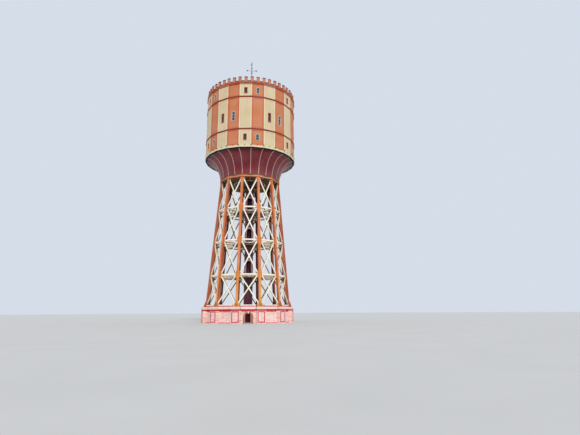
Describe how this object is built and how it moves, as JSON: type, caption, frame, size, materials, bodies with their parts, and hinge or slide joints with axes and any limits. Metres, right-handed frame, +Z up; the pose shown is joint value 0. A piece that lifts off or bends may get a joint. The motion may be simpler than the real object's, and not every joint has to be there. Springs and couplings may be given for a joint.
{
  "type": "water tower, 1:2 scale model",
  "caption": "Polygonal water tank drum with windows and a crenellated parapet, on a flared skirt, a lattice of battered legs with ring landings round a shaft, and a masonry plinth.",
  "frame": {"origin": "on the ground at the tower's vertical axis", "axes": "+Z up along the tower's axis; the front with the plinth's doorway faces -Y, +X is to the right of a viewer in front"},
  "size_m": [7.01, 7.01, 21.0003],
  "materials": {
    "masonry": "painted render on masonry, pale pink with white mouldings and a red band",
    "leg_paint": "orange oil paint on riveted steel, weathered",
    "bracing_paint": "cream oil paint on rolled steel bars",
    "landing_paint": "brown and cream paint on steel plate and beams",
    "shaft_paint": "plum paint on steel plate",
    "floor_paint": "olive brown paint on steel plate and beams",
    "skirt_paint": "maroon gloss paint on steel plate with pale ribs",
    "drum_paint": "cream and orange panels on steel plate, chalky",
    "window_glass": "dark window glass",
    "roof_paint": "grey sheet metal with standing seams",
    "parapet_paint": "salmon paint, weathered on the tops",
    "vane_iron": "dark painted wrought iron"
  },
  "bodies": {
    "tower": {"plinth_front": "masonry", "plinth_right": "masonry", "plinth_back": "masonry", "plinth_left": "masonry", "leg_01": "leg_paint", "leg_02": "leg_paint", "leg_03": "leg_paint", "leg_04": "leg_paint", "leg_05": "leg_paint", "leg_06": "leg_paint", "leg_07": "leg_paint", "leg_08": "leg_paint", "leg_09": "leg_paint", "leg_10": "leg_paint", "leg_11": "leg_paint", "leg_12": "leg_paint", "bracing_01": "bracing_paint", "bracing_02": "bracing_paint", "bracing_03": "bracing_paint", "bracing_04": "bracing_paint", "bracing_05": "bracing_paint", "bracing_06": "bracing_paint", "bracing_07": "bracing_paint", "bracing_08": "bracing_paint", "bracing_09": "bracing_paint", "bracing_10": "bracing_paint", "bracing_11": "bracing_paint", "bracing_12": "bracing_paint", "landing_1": "landing_paint", "landing_2": "landing_paint", "landing_3": "landing_paint", "shaft_1": "shaft_paint", "shaft_2": "shaft_paint", "shaft_3": "shaft_paint", "shaft_4": "shaft_paint", "ring_beam": "leg_paint", "tank_floor": "floor_paint", "skirt_front": "skirt_paint", "skirt_right": "skirt_paint", "skirt_back": "skirt_paint", "skirt_left": "skirt_paint", "tank_wall_front": "drum_paint", "tank_wall_right": "drum_paint", "tank_wall_back": "drum_paint", "tank_wall_left": "drum_paint", "window_glass_bottom": "window_glass", "window_glass_middle": "window_glass", "window_glass_top": "window_glass", "roof": "roof_paint", "parapet_front": "parapet_paint", "parapet_right": "parapet_paint", "parapet_back": "parapet_paint", "parapet_left": "parapet_paint", "mast": "vane_iron"},
    "vane": {"vane": "vane_iron"}
  },
  "joints": [
    {"name": "vane_turn", "type": "hinge", "parent": "tower", "child": "vane", "pos_m": [0, 0, 20.84], "axis": [0, 0, 1], "continuous": true}
  ]
}
